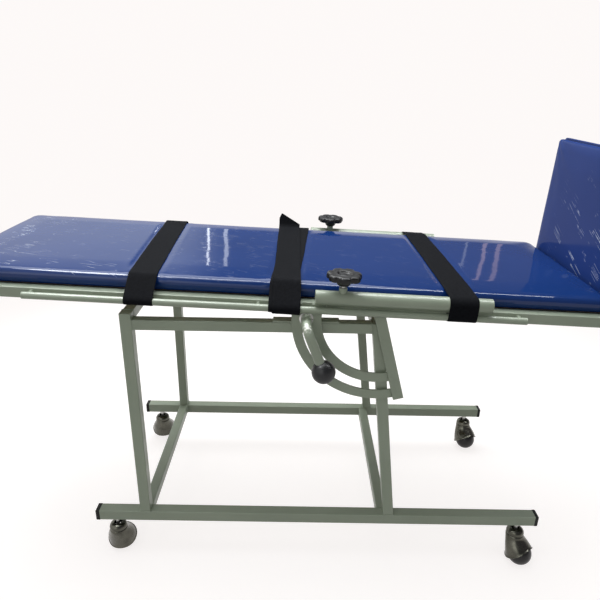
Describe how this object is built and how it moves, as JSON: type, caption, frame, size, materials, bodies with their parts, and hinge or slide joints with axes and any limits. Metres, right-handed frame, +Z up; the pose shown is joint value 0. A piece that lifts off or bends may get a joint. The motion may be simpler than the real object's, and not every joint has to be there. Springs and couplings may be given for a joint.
{
  "type": "physiotherapy tilt table",
  "caption": "Long padded table on a wheeled tube frame; the top tilts on a side pivot, clamped in a quadrant by a ball lever, with straps and a footboard.",
  "frame": {"origin": "on the floor under the middle of the whole object's box, as it stands at rest", "axes": "+X from the head end to the footboard, +Z up, -Y towards the side that has the clamp lever"},
  "size_m": [1.9074, 0.8206, 1.2717],
  "materials": {
    "frame_paint": "satin powder coat, sage grey",
    "vinyl": "satin, smooth vinyl-coated fabric, royal blue",
    "webbing": "woven webbing, black",
    "black_plastic": "moulded plastic, black",
    "knob_plastic": "moulded plastic, black, semi-gloss",
    "board": "plywood",
    "zinc": "zinc plated steel",
    "caster_metal": "dark bright plate",
    "wheel_black": "hard plastic, black"
  },
  "bodies": {
    "base": {"base_rail_near": "frame_paint", "base_rail_far": "frame_paint", "rail_end_caps": "black_plastic", "base_crossbars": "frame_paint", "head_post_near": "frame_paint", "head_post_far": "frame_paint", "foot_post_near": "frame_paint", "foot_post_far": "frame_paint", "upper_rail_near": "frame_paint", "upper_rail_far": "frame_paint", "top_crossbar_head": "frame_paint", "top_crossbar_foot": "frame_paint", "pivot_cheeks": "frame_paint", "pivot_pins": "zinc", "clamp_bracket": "frame_paint", "clamp_bolt": "zinc", "caster_stems": "zinc"},
    "tabletop": {"pivot_barrels": "frame_paint", "side_rail_near": "frame_paint", "side_rail_far": "frame_paint", "end_rails": "frame_paint", "cross_members": "frame_paint", "deck_board": "board", "mattress": "vinyl", "strap_rail_near": "frame_paint", "strap_rail_far": "frame_paint", "strap_rail_pegs": "frame_paint", "strap_rail_plugs": "frame_paint", "sleeve_near": "frame_paint", "sleeve_far": "frame_paint", "sleeve_saddles": "frame_paint", "sleeve_nuts": "frame_paint", "quadrant_inner_arc": "frame_paint", "quadrant_outer_arc": "frame_paint", "quadrant_bar": "frame_paint", "head_strap": "webbing", "middle_strap": "webbing", "middle_strap_tail": "webbing", "foot_strap": "webbing", "footboard_guides": "frame_paint", "guide_set_screws": "zinc"},
    "footboard": {"footboard_pad": "vinyl", "footboard_panel": "board", "footboard_arms": "zinc", "footboard_clips": "zinc"},
    "clamp_lever": {"lever_tube": "frame_paint", "lever_ball": "knob_plastic"},
    "knob_near": {"star_knob_near": "knob_plastic", "knob_stud_near": "zinc"},
    "knob_far": {"star_knob_far": "knob_plastic", "knob_stud_far": "zinc"},
    "caster_head_near_swivel": {"caster_hood_head_near": "caster_metal"},
    "caster_head_near_wheel": {"caster_wheel_head_near": "wheel_black"},
    "caster_head_far_swivel": {"caster_hood_head_far": "caster_metal"},
    "caster_head_far_wheel": {"caster_wheel_head_far": "wheel_black"},
    "caster_foot_near_swivel": {"caster_hood_foot_near": "caster_metal"},
    "caster_foot_near_wheel": {"caster_wheel_foot_near": "wheel_black"},
    "caster_foot_far_swivel": {"caster_hood_foot_far": "caster_metal"},
    "caster_foot_far_wheel": {"caster_wheel_foot_far": "wheel_black"}
  },
  "joints": [
    {"name": "tilt_hinge", "type": "hinge", "parent": "base", "child": "tabletop", "pos_m": [0.23813, 0.0193, 0.842], "axis": [0, 1, 0], "range_deg": [0, 77.8]},
    {"name": "footboard_slide", "type": "slide", "parent": "tabletop", "child": "footboard", "axis": [0.9993, 0, -0.0384], "range_m": [0, 0.1]},
    {"name": "lever_turn", "type": "hinge", "parent": "base", "child": "clamp_lever", "pos_m": [0.03813, -0.3153, 0.8459], "axis": [0, 1, 0], "range_deg": [-60, 20]},
    {"name": "knob_near_turn", "type": "hinge", "parent": "tabletop", "child": "knob_near", "pos_m": [0.13182, -0.3257, 0.94015], "axis": [0.0384, 0, 0.9993], "continuous": true},
    {"name": "knob_far_turn", "type": "hinge", "parent": "tabletop", "child": "knob_far", "pos_m": [0.13157, 0.3643, 0.93366], "axis": [0.0384, 0, 0.9993], "continuous": true},
    {"name": "caster_head_near_turn", "type": "hinge", "parent": "base", "child": "caster_head_near_swivel", "pos_m": [-0.54687, -0.2862, 0.118], "axis": [0, 0, 1], "continuous": true},
    {"name": "caster_head_near_roll", "type": "hinge", "parent": "caster_head_near_swivel", "child": "caster_head_near_wheel", "pos_m": [-0.54785, -0.25822, 0.037], "axis": [-0.9994, -0.0349, 0], "continuous": true},
    {"name": "caster_head_far_turn", "type": "hinge", "parent": "base", "child": "caster_head_far_swivel", "pos_m": [-0.54687, 0.3248, 0.118], "axis": [0, 0, 1], "continuous": true},
    {"name": "caster_head_far_roll", "type": "hinge", "parent": "caster_head_far_swivel", "child": "caster_head_far_wheel", "pos_m": [-0.55174, 0.35237, 0.037], "axis": [-0.9848, -0.1736, 0], "continuous": true},
    {"name": "caster_foot_near_turn", "type": "hinge", "parent": "base", "child": "caster_foot_near_swivel", "pos_m": [0.72513, -0.2862, 0.118], "axis": [0, 0, 1], "continuous": true},
    {"name": "caster_foot_near_roll", "type": "hinge", "parent": "caster_foot_near_swivel", "child": "caster_foot_near_wheel", "pos_m": [0.74119, -0.30914, 0.037], "axis": [0.8192, 0.5736, 0], "continuous": true},
    {"name": "caster_foot_far_turn", "type": "hinge", "parent": "base", "child": "caster_foot_far_swivel", "pos_m": [0.72513, 0.3248, 0.118], "axis": [0, 0, 1], "continuous": true},
    {"name": "caster_foot_far_roll", "type": "hinge", "parent": "caster_foot_far_swivel", "child": "caster_foot_far_wheel", "pos_m": [0.73378, 0.29817, 0.037], "axis": [0.9511, 0.309, 0], "continuous": true}
  ]
}
